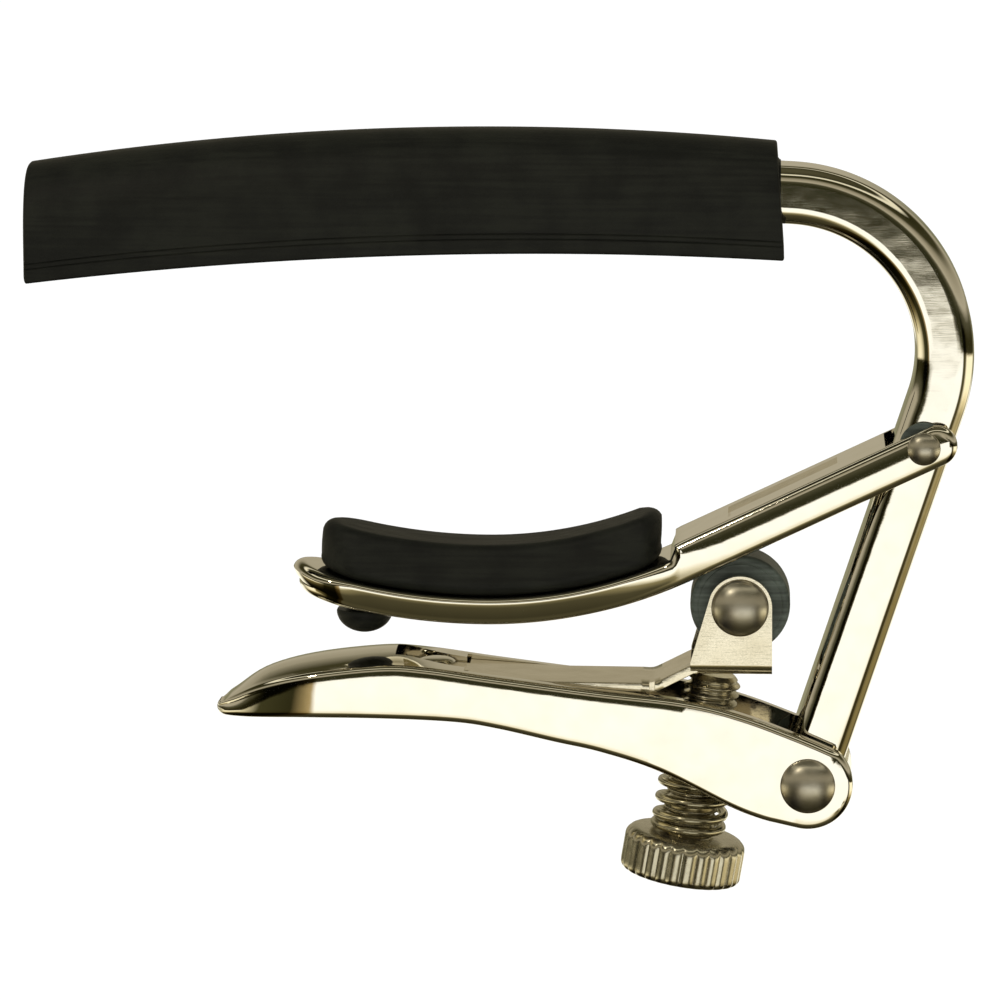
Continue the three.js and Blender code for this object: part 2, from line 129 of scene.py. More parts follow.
back = stops(add(sky, "ShaderNodeValToRGB", Fac=upward), *BACK)
sides = stops(add(sky, "ShaderNodeValToRGB", Fac=across), *SIDES)
panelled = add(sky, "ShaderNodeMix", {"data_type": "RGBA", "blend_type": "MULTIPLY"},
               _0=low, _6=front, _7=sides).outputs[2]
room = add(sky, "ShaderNodeMix", {"data_type": "RGBA"}, _0=behind, _6=panelled,
           _7=back).outputs[2]
seen = add(sky, "ShaderNodeBackground", Color=room, Strength=ROOM_GLOW).outputs[0]
cove = add(sky, "ShaderNodeBackground", Color=colour("#ffffff"), Strength=1.05).outputs[0]
glossy = add(sky, "ShaderNodeLightPath").outputs["Is Glossy Ray"]
both = add(sky, "ShaderNodeMixShader", _0=glossy, _1=cove, _2=seen).outputs[0]
add(sky, "ShaderNodeOutputWorld", Surface=both)

# a small lamp high on the left gives each domed head its bright point
LAMP_WAY, LAMP_FAR, LAMP_WIDE, LAMP_POWER = Vector((-0.41, -0.68, 0.6)), 0.7, 0.045, 0.35
lamp = bpy.data.objects.new("lamp", bpy.data.lights.new("lamp", "AREA"))
lamp.data.size, lamp.data.energy = LAMP_WIDE, LAMP_POWER
lamp.data.color = colour("#fff4dc")[:3]
lamp.location = LAMP_WAY.normalized() * LAMP_FAR
lamp.rotation_euler = LAMP_WAY.to_track_quat("Z", "Y").to_euler()
bpy.context.scene.collection.objects.link(lamp)

# a wide floor of plain white paper, well below
FLOOR_LOW, FLOOR_HALF = -0.14, 6.0
floor_mesh = bpy.data.meshes.new("floor")
floor_mesh.from_pydata([(x * FLOOR_HALF, y * FLOOR_HALF, FLOOR_LOW)
                        for x, y in ((-1, -1), (1, -1), (1, 1), (-1, 1))], [], [(0, 1, 2, 3)])
floor = bpy.data.objects.new("floor", floor_mesh)
bpy.context.scene.collection.objects.link(floor)
pale = bpy.data.materials.new("pale_paper_floor")
pale.use_nodes = True
pale.node_tree.nodes.clear()
paper = add(pale.node_tree, "ShaderNodeBsdfDiffuse", Color=colour("#ffffff")).outputs[0]
add(pale.node_tree, "ShaderNodeOutputMaterial", Surface=paper)
floor_mesh.materials.append(pale)
floor.visible_glossy = False


# ---- bent bar -------------------------------------------------------------------------
# One length of brass bar, bowed under the sleeve, bent round into the leg and drilled for
# two rivets. It is polished and nickel plated, which leaves a warm mirror with soft waves.
def flat(x, z):
    return Vector((x, z))


def arc(centre, r, start, end, count):
    """points round a centre, angles in degrees from +X"""
    turns = [math.radians(start + (end - start) * i / (count - 1)) for i in range(count)]
    return [flat(centre.x + r * math.cos(a), centre.y + r * math.sin(a)) for a in turns]


def line(start, end, count):
    return [start.lerp(end, i / (count - 1)) for i in range(count)]


def outward(points, sign):
    """unit normals of a path, on its left for sign 1"""
    normals = []
    for i in range(len(points)):
        step = points[min(i + 1, len(points) - 1)] - points[max(i - 1, 0)]
        normals.append(Vector((-step.y, step.x)).normalized() * sign)
    return normals


def plan_straight(half):
    """half width and side direction of a piece with straight sides"""
    return lambda x: (half, flat(0, 1))


def plan_rounded(half, *ends):
    """the same with ends rounded in plan; an end is (x, taper, -1 for left or 1 for right)"""
    def at(x):
        for end, taper, sign in ends:
            inside = (end - x) * sign
            if inside < taper:
                u = min(1, 1 - inside / taper)
                side = math.sqrt(1 - u * u)
                return half * side, flat(sign * u / taper, side / half).normalized()
        return half, flat(0, 1)
    return at


STEEPEST = 0.86                    # a rim on a path steeper than this isn't slid along it


def forging(top, under, plan, rim, bulge=0.0, crown=None, draft=0.0, tuck=None, rims=6, rows=8):
    """rings of a solid between an upper and a lower edge path: rounded rims, sides that
    bulge, a crowned top, a top drafted in plan, and an underside tucked in"""
    up, down = outward(top, 1), outward(under, -1)
    rings = []
    for t, b, nt, nb in zip(top, under, up, down):
        if (t - b).length < 1e-6:
            nt = nb = (nt + nb).normalized()
        half, side = plan(t.x)
        r = rim(t.x) if callable(rim) else rim
        inward = tuck(t.x) if tuck else 0
        turns = [math.pi / 2 * i / rims for i in range(rims + 1)]

        def rim_point(edge, normal, turn, extra):
            off = r * (1 - math.sin(turn)) + extra
            cut = r * (1 - math.cos(turn))
            x = edge.x - side.x * off
            slope = normal.x / normal.y if side.x and abs(normal.y) > STEEPEST else 0
            z = edge.y - slope * (x - edge.x)
            return x - normal.x * cut, max(0, half - side.y * off), z - normal.y * cut

        profile = [rim_point(t, nt, a, draft) for a in turns]
        high, low = t - nt * r, b - nb * r
        for i in range(1, rows):
            s = i / rows
            middle = high.lerp(low, s)
            swell = bulge * (1 - (2 * s - 1) ** 2) * min(1, 2 * half / r)
            off = draft * (1 - s) + inward * s - swell
            profile.append((middle.x - side.x * off, max(0, half - side.y * off), middle.y))
        profile += [rim_point(b, nb, a, inward) for a in reversed(turns)]
        ring = [(x, -y, z) for x, y, z in profile] + profile[::-1]
        edge_x, edge_y, edge_z = profile[0]
        rise = crown(t.x) if crown else 0
        for i in range(1, 2 * rows):
            q = 1 - i / rows
            lift = rise * (1 - q * q)
            ring.append((edge_x + nt.x * lift, edge_y * q, edge_z + nt.y * lift))
        rings.append(ring)
    return rings


def skin(rings, capped=True, closed=False):
    """points and faces over rings of equal length"""
    count = len(rings[0])
    points = [p for ring in rings for p in ring]
    faces = []
    for i in range(len(rings) - (0 if closed else 1)):
        here, there = i * count, (i + 1) % len(rings) * count
        for k in range(count):
            faces.append((here + k, here + (k + 1) % count,
                          there + (k + 1) % count, there + k))
    if capped and not closed:
        faces += [tuple(range(count)), tuple(range(len(points) - count, len(points)))]
    return points, faces


MERGE, SHARP = 1e-7, math.radians(32)


def tidy(mesh):
    """merges doubled points, drops empty faces and turns every face outward"""
    work = bmesh.new()
    work.from_mesh(mesh)
    bmesh.ops.remove_doubles(work, verts=work.verts, dist=MERGE)
    bmesh.ops.dissolve_degenerate(work, edges=work.edges, dist=MERGE)
    bmesh.ops.recalc_face_normals(work, faces=work.faces)
    work.to_mesh(mesh)
    work.free()


def body_of(name, points, faces):
    """an object in metres from points in millimetres"""
    mesh = bpy.data.meshes.new(name)
    mesh.from_pydata([Vector(p) * MM for p in points], [], faces)
    tidy(mesh)
    made = bpy.data.objects.new(name, mesh)
    bpy.context.scene.collection.objects.link(made)
    return made


def combine(base, how, *tools):
    """cuts or joins a piece with others, which are used up"""
    for tool in tools:
        step = base.modifiers.new("step", "BOOLEAN")
        step.operation, step.solver, step.object = how, "EXACT", tool
        bpy.context.view_layer.update()
        shaped = base.evaluated_get(bpy.context.evaluated_depsgraph_get())
        result = bpy.data.meshes.new_from_object(shaped)
        base.modifiers.clear()
        base.data = result
        bpy.data.objects.remove(tool)
    return base


def finish(piece, body, slot, coat, *nodes):
    """smooth shading, finish, and the body and nodes that a piece goes with"""
    tidy(piece.data)
    piece.data.shade_smooth()
    piece.data.set_sharp_from_angle(angle=SHARP)
    piece.modifiers.new("even_normals", "WEIGHTED_NORMAL").keep_sharp = True
    piece.data.materials.clear()
    piece.data.materials.append(coat)
    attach(piece, body)
    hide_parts(*nodes)
    return piece


def across_y(centre):
    """places a turned piece on a pivot that runs along Y"""
    return lambda a, b, h: (centre.x + a, h, centre.y + b)


def upright(x):
    return lambda a, b, h: (x + a, b, h)


def turned(name, profile, place, segments=64, ring=False):
    """a turned piece from (radius, height) pairs; a ring's profile closes on itself"""
    rings = []
    for r, h in profile:
        turns = [2 * math.pi * i / segments for i in range(segments)]
        rings.append([place(r * math.cos(a), r * math.sin(a), h) for a in turns])
    return body_of(name, *skin(rings, capped=False, closed=ring))


def drill(place, r, low, high, segments):
    """a tool for a round hole"""
    return turned("tool", [(0, low), (r, low), (r, high), (0, high)], place, segments)


def rod(centre, r, half=8.0):
    return drill(across_y(centre), r, -half, half, 48)


def prism(points, wide, middle=0.0):
    """a plain plate of an XZ outline"""
    rings = [[(p.x, middle + sign * wide / 2, p.y) for p in points] for sign in (-1, 1)]
    return body_of("tool", *skin(rings))


def plated(name, light, dark, smooth, rough, wave=0.008, hair=0.0004, grain=0.1):
    """a plated metal: slow waves left by hand polishing, hairline scratches, fine haze"""
    # real scratches are finer than 0.09 mm; they are drawn this wide so that they show
    made = bpy.data.materials.new(name)
    made.use_nodes = True
    tree = made.node_tree
    tree.nodes.clear()
    place = add(tree, "ShaderNodeTexCoord").outputs["Object"]
    waves = add(tree, "ShaderNodeTexNoise", Vector=place, Scale=1 / (2.2 * MM), Detail=1.5)
    drawn = add(tree, "ShaderNodeMapping", Vector=place, Scale=(0.06, 1, 0.8),
                Rotation=(0, math.radians(12), 0))
    hairs = add(tree, "ShaderNodeTexNoise", Vector=drawn.outputs[0],
                Scale=1 / (0.09 * MM), Detail=2)
    haze = add(tree, "ShaderNodeTexNoise", Vector=place, Scale=1 / (grain * MM), Detail=3)
    tint = add(tree, "ShaderNodeMix", {"data_type": "RGBA"}, _0=waves.outputs[0],
               _6=colour(dark), _7=colour(light))
    dull = add(tree, "ShaderNodeMapRange", Value=haze.outputs[0], From_Min=0.35,
               From_Max=0.7, To_Min=smooth, To_Max=rough)
    soft = add(tree, "ShaderNodeBump", Height=waves.outputs[0], Distance=wave * MM)
    lines = add(tree, "ShaderNodeBump", Height=hairs.outputs[0], Distance=hair * MM,
                Normal=soft.outputs[0])
    shell = add(tree, "ShaderNodeBsdfPrincipled", Metallic=1.0, Base_Color=tint.outputs[2],
                Roughness=dull.outputs[0], Normal=lines.outputs[0])
    add(tree, "ShaderNodeOutputMaterial", Surface=shell.outputs[0])
    return made


# nickel over polished brass: a clear warm mirror with a slight haze
bright_nickel = plated("bright_nickel_plate", "#f1eee6", "#e4dfd2", 0.035, 0.065)

BOW_R, LIFT, DEEP, WIDE, BAR_EDGE = 370.0, 5.35, 5.0, 6.0, 1.25
BEND_R, LEAN = 13.8, 18.1
LEVER_PIVOT, PIVOT_SPAN = flat(21.4, -46.1), 31.04
lean = math.radians(LEAN)
leg_up = flat(math.sin(lean), math.cos(lean))
leg_right = flat(leg_up.y, -leg_up.x)
ARM_PIVOT = LEVER_PIVOT + leg_up * PIVOT_SPAN
bow = flat(0, -BOW_R)
bar_r = BOW_R + LIFT
reach = bar_r - BEND_R
start = lean + math.asin((LEVER_PIVOT.dot(leg_right) - BEND_R - BOW_R * math.sin(lean)) / reach)
bend = bow + flat(math.sin(start), math.cos(start)) * reach
BAR_LEFT = -43.8


def bar_edge(side):
    """the bar's outer edge for side 1, its inner edge for -1"""
    half = side * DEEP / 2
    left, turn = 90 + math.degrees(math.asin(-BAR_LEFT / bar_r)), 90 - math.degrees(start)
    bowed = arc(bow, bar_r + half, left, turn, 40)
    bent = arc(bend, BEND_R + half, turn, -LEAN, 56)
    foot = LEVER_PIVOT + leg_right * half
    straight = line(bent[-1], foot, 24)
    end = arc(LEVER_PIVOT, DEEP / 2, -LEAN if side > 0 else 180 - LEAN,
              -LEAN - 90 if side > 0 else 270 - LEAN, 14)
    return bowed + bent[1:] + straight[1:] + end[1:]


frame_bar = body_of("bent_bar", *skin(forging(bar_edge(1), bar_edge(-1),
                                              plan_straight(WIDE / 2), BAR_EDGE)))
ARM_BORE, LEVER_BORE = 1.18, 1.68
combine(frame_bar, "DIFFERENCE", rod(ARM_PIVOT, ARM_BORE), rod(LEVER_PIVOT, LEVER_BORE))
finish(frame_bar, "frame", "nickel_plate", bright_nickel, "frame_bar")


# ---- rubber sleeve --------------------------------------------------------------------
# Black rubber moulded over the bar with a flat base for the strings and an arched back.
# Two fine parting lines run along each side, and the surface has dragged a little on the
# way out of the mould, so it looks dull with a faint grain along its length.
def moulded(name, base, worn, smooth, rough, grain, drag, shine=0.27):
    """a dark moulded rubber or plastic: fine grain, and streaks along X"""
    # the grain of the mould is finer than this; it is drawn coarser so that it shows
    made = bpy.data.materials.new(name)
    made.use_nodes = True
    tree = made.node_tree
    tree.nodes.clear()
    place = add(tree, "ShaderNodeTexCoord").outputs["Object"]
    cloud = add(tree, "ShaderNodeTexNoise", Vector=place, Scale=1 / (3.5 * MM), Detail=4)
    pits = add(tree, "ShaderNodeTexNoise", Vector=place, Scale=1 / (grain * MM), Detail=3)
    pulled = add(tree, "ShaderNodeMapping", Vector=place, Scale=(0.03, 1, 1))
    streaks = add(tree, "ShaderNodeTexNoise", Vector=pulled.outputs[0],
                  Scale=1 / (0.35 * MM), Detail=3)
    mixed = add(tree, "ShaderNodeMath", {"operation": "MULTIPLY"}, _0=cloud.outputs[0],
                _1=streaks.outputs[0]).outputs[0]
    patch = add(tree, "ShaderNodeMapRange", Value=mixed, From_Min=0.16, From_Max=0.36)
    tint = add(tree, "ShaderNodeMix", {"data_type": "RGBA"}, _0=patch.outputs[0],
               _6=colour(base), _7=colour(worn))
    dull = add(tree, "ShaderNodeMapRange", Value=streaks.outputs[0], From_Min=0.3,
               From_Max=0.7, To_Min=smooth, To_Max=rough)
    drags = add(tree, "ShaderNodeBump", Height=streaks.outputs[0], Distance=drag * MM)
    grains = add(tree, "ShaderNodeBump", Height=pits.outputs[0], Distance=0.02 * MM,
                 Normal=drags.outputs[0])
    shell = add(tree, "ShaderNodeBsdfPrincipled", Base_Color=tint.outputs[2], IOR=1.5,
                Specular_IOR_Level=shine, Roughness=dull.outputs[0], Normal=grains.outputs[0])
    add(tree, "ShaderNodeOutputMaterial", Surface=shell.outputs[0])
    return made


# moulded rubber: almost black and dull, a little paler where it has been rubbed
black_rubber = moulded("moulded_black_rubber", "#0e100b", "#191b12", 0.46, 0.6, 0.16, 0.02)

SLEEVE_HIGH, SLEEVE_HALF, SLEEVE_WALL = 10.35, 5.0, 3.4
BACK_R, BACK_CROWN = 258.0, -5.3
SLEEVE_LEFT, SLEEVE_RIGHT, SLEEVE_SLANT = -45.75, 18.65, 0.7
ARCH_POWER = 2.5                   # squarer than a plain ellipse
GROOVES, GROOVE_DEEP, GROOVE_WIDE = (1.3, 1.75), 0.07, 0.09
SLANT_REACH = 8                    # how far in from the right end the sides still slant


def sleeve_half():
    """one side of the section, from the base up to the crown"""
    half = SLEEVE_HALF
    side = [(0, 0), (2.2, 0), (4.4, 0), (4.78, 0.04), (4.95, 0.2), (half, 0.45), (half, 0.9)]
    for at in GROOVES:
        side += [(half, at - GROOVE_WIDE), (half - GROOVE_DEEP, at), (half, at + GROOVE_WIDE)]
    side += [(half, 2.5)]
    for i in range(20):
        a = math.pi / 2 * i / 19
        side.append((half * math.cos(a) ** (2 / ARCH_POWER),
                     SLEEVE_WALL + (SLEEVE_HIGH - SLEEVE_WALL) * math.sin(a) ** (2 / ARCH_POWER)))
    return side


half_side = sleeve_half()
section = [(-y, h) for y, h in half_side] + half_side[-2:0:-1]
base_z = lambda x: -BOW_R + math.sqrt(BOW_R ** 2 - x * x)
back_z = lambda x: SLEEVE_HIGH - BACK_R + math.sqrt(BACK_R ** 2 - (x - BACK_CROWN) ** 2)
HEART = LIFT                       # the bar's middle, which the end rings close in on
CORE_LEFT, CORE_HALF, CORE_TALL = -44.1, 3.15, 2.65    # the room for the bar


def sleeve_ring(x, inset=0.0):
    ring = []
    slant = max(0, 1 - (SLEEVE_RIGHT - x) / SLANT_REACH) * SLEEVE_SLANT
    for y, h in section:
        k = 1 - inset / SLEEVE_HALF
        y, h = y * k, HEART + (h - HEART) * k
        xs = x + slant * (0.5 - h / SLEEVE_HIGH)
        ring.append((xs, y, base_z(xs) + h / SLEEVE_HIGH * (back_z(xs) - base_z(xs))))
    return ring


def hollow_ring(x):
    ring = []
    for y, h in section:
        a = math.atan2(h - HEART, y)
        r = ((abs(math.cos(a)) / CORE_HALF) ** 5 + (abs(math.sin(a)) / CORE_TALL) ** 5) ** -0.2
        ring.append((x, r * math.cos(a), base_z(x) + HEART + r * math.sin(a)))
    return ring


rings = [hollow_ring(CORE_LEFT + (SLEEVE_RIGHT - CORE_LEFT) * i / 20) for i in range(21)]
END_ROUND = 0.22
rings += [sleeve_ring(SLEEVE_RIGHT, inset) for inset in (1.5, 0.8, END_ROUND)]
for i in range(1, 5):
    a = math.pi / 2 * i / 4
    rings.append(sleeve_ring(SLEEVE_RIGHT - END_ROUND * (1 - math.cos(a)),
                             END_ROUND * (1 - math.sin(a))))
rings += [sleeve_ring(SLEEVE_RIGHT - END_ROUND - (SLEEVE_RIGHT - END_ROUND - SLEEVE_LEFT) * i / 72)
          for i in range(1, 73)]
LEFT_ROUND, LEFT_BULGE, LEFT_LIP = 0.5, 0.55, 0.3
for i in range(1, 7):
    a = math.pi / 2 * i / 6
    rings.append(sleeve_ring(SLEEVE_LEFT - LEFT_LIP * math.sin(a), LEFT_ROUND * (1 - math.cos(a))))
for inset in (1.2, 2.0, 3.0, 4.0, 4.8):
    fall = (inset / SLEEVE_HALF) ** 0.8
    rings.append(sleeve_ring(SLEEVE_LEFT - LEFT_LIP - (LEFT_BULGE - LEFT_LIP) * fall, inset))
sleeve = body_of("rubber_sleeve", *skin(rings))
finish(sleeve, "frame", "rubber", black_rubber, "bar_sleeve")


# ---- arm behind the neck --------------------------------------------------------------
# Brass, cast with a bowed seat for the pad and a fork that straddles the leg, then
# polished and nickel plated. A plain shallow panel is sunk in its upper face, and a track
# for the roller runs along its underside.
SLOPE, THICK, SEAT, ARM_HALF, ARM_RIM = math.radians(25.5), 3.5, 2.4, 4.5, 0.62
LOW_X, LEFT_R, RIGHT_R = -6.5, 53.0, 41.0
ARM_LEFT, SAG = -23.1, 0.34
END_AHEAD, END_R = 1.1, 1.75
along = flat(math.cos(SLOPE), math.sin(SLOPE))
above = flat(-along.y, along.x)
underside = ARM_PIVOT - above * (SAG + THICK / 2)
tangent_x = LOW_X + RIGHT_R * math.sin(SLOPE)
tangent = flat(tangent_x, underside.y + (tangent_x - underside.x) * math.tan(SLOPE))
LOW_Z = tangent.y - RIGHT_R * (1 - math.cos(SLOPE))


def arm_face(x, lift):
    r = LEFT_R if x < LOW_X else RIGHT_R
    return flat(x, LOW_Z + r - math.sqrt((r - lift) ** 2 - (x - LOW_X) ** 2))


def on_arm(base, a, u):
    return base + along * a + above * u


STEP_X = 9.4
tongue = [ARM_LEFT + ARM_HALF * (1 - math.cos(math.pi / 2 * i / 14)) for i in range(15)]
seat_x = tongue + [tongue[-1] + (STEP_X - tongue[-1]) * i / 40 for i in range(1, 41)]
end = on_arm(ARM_PIVOT, END_AHEAD, -SAG)
slope_deg = math.degrees(SLOPE)
nose_low = arc(end, END_R, slope_deg - 90, slope_deg, 12)
nose_top = arc(end, END_R, slope_deg + 90, slope_deg, 12)
step = [flat(STEP_X + 0.06, arm_face(STEP_X, SEAT).y + 0.12), on_arm(tangent, 0.0, THICK - 0.35),
        on_arm(tangent, 0.12, THICK - 0.05), on_arm(tangent, 0.6, THICK)]
low_step = [arm_face(x, 0) for x in (9.8, 10.2, 10.6)] + [tangent]
arm_top = [arm_face(x, SEAT) for x in seat_x] + step + line(step[-1], nose_top[0], 26)[1:]
arm_low = [arm_face(x, 0) for x in seat_x] + low_step + line(tangent, nose_low[0], 26)[1:]


ARM_TUCK, SEAT_RIM_LESS, TONGUE_RIM_MORE = 0.5, 0.2, 0.4


def arm_rim(x):
    """finer along the seat, rounder at the left end"""
    return (ARM_RIM - SEAT_RIM_LESS * min(1, max(0, (10 - x) / 5))
            + TONGUE_RIM_MORE * min(1, max(0, (-18 - x) / 3)))


def arm_tuck(x):
    """the sides lean in under the pad and stand up straight towards the fork"""
    lean_in = min(1, max(0, (14 - x) / 13))
    return ARM_TUCK * lean_in * lean_in * (3 - 2 * lean_in) * min(1, max(0, (x + 22) / 5))


neck_arm = body_of("neck_arm_forging", *skin(forging(
    arm_top + nose_top[1:], arm_low + nose_low[1:],
    plan_rounded(ARM_HALF, (ARM_LEFT, ARM_HALF, -1)), arm_rim, bulge=0.06, tuck=arm_tuck)))
FORK_GAP = 7.1
fork = prism([on_arm(ARM_PIVOT, a, u) for a, u in ((-9.57, -4), (8, -4), (8, 4), (0.2, 4))],
             FORK_GAP)
TRACK_LEFT, TRACK_DEEP, TRACK_END, TRACK_WIDE = -13.6, 0.95, 14.5, 6.0
track_x = [TRACK_LEFT + (tangent.x - TRACK_LEFT) * i / 20 for i in range(21)]
track = prism([arm_face(x, TRACK_DEEP) for x in track_x]
              + [on_arm(tangent, TRACK_END, TRACK_DEEP), on_arm(tangent, TRACK_END, -1)]
              + [arm_face(x, -1) for x in reversed(track_x)], TRACK_WIDE)
PANEL_FROM, PANEL_TO, PANEL_FLOOR, PANEL_WIDE = 5.2, 15.6, THICK - 0.25, 5.0
panel = prism([on_arm(tangent, a, u) for a, u in
               ((PANEL_FROM, PANEL_FLOOR), (PANEL_TO, PANEL_FLOOR), (PANEL_TO, 5),
                (PANEL_FROM, 5))], PANEL_WIDE)
PLUG_X, PLUG_HOLE = -17.2, 1.8
plug_hole = drill(upright(PLUG_X), PLUG_HOLE, -38, -22, 40)
combine(neck_arm, "DIFFERENCE", fork, track, panel, rod(ARM_PIVOT, ARM_BORE), plug_hole)
finish(neck_arm, "arm", "nickel_plate", bright_nickel, "neck_arm")


# ---- neck pad -------------------------------------------------------------------------
# One rubber moulding: a hollowed pad with a soft edge on the arm's seat, a stem pushed
# through the arm, and a round bumper below that lands on the lever.
PAD_LEFT, PAD_RIGHT, PAD_HALF, PAD_THICK, PAD_GAP = -21.2, 8.95, 4.15, 4.3, 0.08
PAD_RIM, PAD_DRAFT, HOLLOW_LEFT, HOLLOW_RIGHT = 0.95, 0.75, 50.0, 36.0


def pad_top(x):
    r = HOLLOW_LEFT if x < LOW_X else HOLLOW_RIGHT
    return flat(x, LOW_Z + SEAT + PAD_GAP + PAD_THICK + r - math.sqrt(r * r - (x - LOW_X) ** 2))


ends = [PAD_LEFT + PAD_HALF * (1 - math.cos(math.pi / 2 * i / 14)) for i in range(15)]
PAD_TAPER = 2.3
tail = [PAD_RIGHT - PAD_TAPER * (1 - math.cos(math.pi / 2 * i / 10)) for i in range(10, -1, -1)]
pad_x = ends + [ends[-1] + (tail[0] - ends[-1]) * i / 40 for i in range(1, 40)] + tail
pad_plan = plan_rounded(PAD_HALF, (PAD_LEFT, PAD_HALF, -1), (PAD_RIGHT, PAD_TAPER, 1))
pad = body_of("neck_pad_moulding", *skin(forging(
    [pad_top(x) for x in pad_x], [arm_face(x, SEAT + PAD_GAP) for x in pad_x],
    pad_plan, PAD_RIM, bulge=0.06, draft=PAD_DRAFT)))
BUMPER_R, BUMPER_LOW, STEM_R = 2.44, 1.9, 1.5
bumper_z = arm_face(PLUG_X, 0).y - 0.6
bumper = [(BUMPER_R * math.sin(math.pi / 2 * i / 12), bumper_z - BUMPER_LOW
           * math.cos(math.pi / 2 * i / 12)) for i in range(13)]
stem = turned("tool", bumper + [(BUMPER_R - 0.1, bumper_z + 0.2), (STEM_R, bumper_z + 0.25),
                                (STEM_R, bumper_z + 5), (0, bumper_z + 5)], upright(PLUG_X), 56)
combine(pad, "UNION", stem)
finish(pad, "arm", "rubber", black_rubber, "neck_pad")


# ---- pivot rivets and washers ---------------------------------------------------------
# Solid steel rivets, their heads struck to a dome and plated dull. Each has a black nylon
# washer on both sides of the leg, so the joints stay where they are put.
# dull plating on steel gives a soft grey gleam with no clear mirror image; turned nylon is
# a dark grey with a faint sheen
struck_steel = plated("struck_rivet_steel", "#ded9cc", "#c4bead", 0.3, 0.36, wave=0.01,
                      hair=0.0002, grain=0.6)
black_nylon = moulded("turned_black_nylon", "#343a32", "#525a4f", 0.34, 0.5, 0.1, 0.004, 0.4)


def dome(head, high, face, count=14):
    """a struck head, flattest in its middle, from its rim to its top"""
    lip = 0.16
    points = [(head - 0.05, face), (head, face + 0.06)]
    for i in range(1, count + 1):
        a = math.pi / 2 * i / count
        points.append((head * math.cos(a), face + lip * 0.4 + (high - lip * 0.4) * math.sin(a)))
    points[-1] = (0, points[-1][1])
    return points


def rivet(name, centre, shank, head, high, face, body, node):
    cap = dome(head, high, face)
    low = [(r, -h) for r, h in reversed(cap)]
    made = turned(name, low + [(shank, -face), (shank, face)] + cap, across_y(centre), 72)
    return finish(made, body, "rivet_steel", struck_steel, node)


def washer(name, centre, bore, r, low, high, node):
    c = 0.08
    made = turned(name, [(bore, low), (r - c, low), (r, low + c), (r, high - c), (r - c, high),
                         (bore, high)], across_y(centre), 64, ring=True)
    return finish(made, "frame", "black_nylon", black_nylon, node)


rivet("arm_rivet", ARM_PIVOT, 1.1, 1.43, 0.85, 4.55, "frame", "arm_pivot_rivet")
rivet("lever_rivet", LEVER_PIVOT, 1.6, 2.375, 1.25, 5.05, "frame", "lever_pivot_rivet")
for tag, sign in (("near", -1), ("far", 1)):
    for kind, centre, bore, r, inside, thick in (("arm", ARM_PIVOT, 1.2, 2.08, 3.06, 0.42),
                                                 ("lever", LEVER_PIVOT, 1.7, 3.35, 3.08, 0.45)):
        low, high = sorted((sign * inside, sign * (inside + thick)))
        washer(f"{kind}_friction_washer_{tag}", centre, bore, r, low, high,
               f"{kind}_washer_{tag}")


# ---- hand lever -----------------------------------------------------------------------
# Brass, cast solid at the finger tip and as an open channel towards its pivot, where two
# eyes straddle the leg. A web across the channel carries the screw. The tip is crowned
# and rounded in plan, with soft rims all along, polished and nickel plated.
LEVER_HALF, LEVER_RIM, EYE_R, WALL = 5.0, 0.52, 3.9, 1.35
TIP_LEFT, TIP_TAPER = -30.3, 10.8
NOSE, NOSE_R = flat(-29.86, -40.42), 0.44
TOP_EDGE = [flat(*p) for p in (
    (-29.9, -39.92), (-26.1, -37.85), (-21.8, -36.62), (-15.5, -35.86), (-11.5, -36.05),
    (-6, -36.8), (2.8, -37.9), (10.6, -38.75), (15.6, -39.95), (20.5, -41.75), (24.06, -43.25))]
LOW_EDGE = [flat(*p) for p in (
    (-29.92, -40.86), (-28.8, -40.97), (-22.7, -40.6), (-15.3, -40.6), (-9.1, -40.85),
    (-5.4, -41.4), (-0.5, -42.5), (3.6, -43.4), (8.6, -45.05), (14.7, -48.1), (17.4, -49.15),
    (19.0, -49.55), (20.39, -49.867))]


def curve(points, steps=24):
    """a smooth path through points"""
    padded = [points[0] * 2 - points[1], *points, points[-1] * 2 - points[-2]]
    out = []
    for a, b, c, d in zip(padded, padded[1:], padded[2:], padded[3:]):
        for i in range(steps):
            s = i / steps
            out.append(((b * 2) + (c - a) * s + (a * 2 - b * 5 + c * 4 - d) * s * s
                        + (b * 3 - a - c * 3 + d) * s ** 3) / 2)
    return out + [points[-1]]


def height(path, x):
    for a, b in zip(path, path[1:]):
        if a.x <= x <= b.x:
            return flat(x, a.y + (b.y - a.y) * (x - a.x) / (b.x - a.x))
    return min(path, key=lambda p: abs(p.x - x)).copy()


top_curve, low_curve = curve(TOP_EDGE), curve(LOW_EDGE)
tip_x = [TIP_LEFT + TIP_TAPER * (1 - math.cos(math.pi / 2 * i / 22)) for i in range(5, 23)]
body_top = [tip_x[-1] + (TOP_EDGE[-1].x - tip_x[-1]) * i / 70 for i in range(1, 71)]
body_low = [tip_x[-1] + (LOW_EDGE[-1].x - tip_x[-1]) * i / 70 for i in range(1, 71)]
lever_top = (arc(NOSE, NOSE_R, 180, 100, 6) + [height(top_curve, x) for x in tip_x + body_top]
             + arc(LEVER_PIVOT, EYE_R, 47, -33.5, 20)[1:])
lever_low = (arc(NOSE, NOSE_R, 180, 260, 6) + [height(low_curve, x) for x in tip_x + body_low]
             + arc(LEVER_PIVOT, EYE_R, -105, -33.5, 20)[1:])
TIP_CROWN = 0.6


def lever_crown(x):
    fade = min(1, max(0, (-9.5 - x) / 5))
    tip = min(1, max(0, (x - TIP_LEFT) / 5))
    return TIP_CROWN * fade * fade * (3 - 2 * fade) * tip * tip * (3 - 2 * tip)


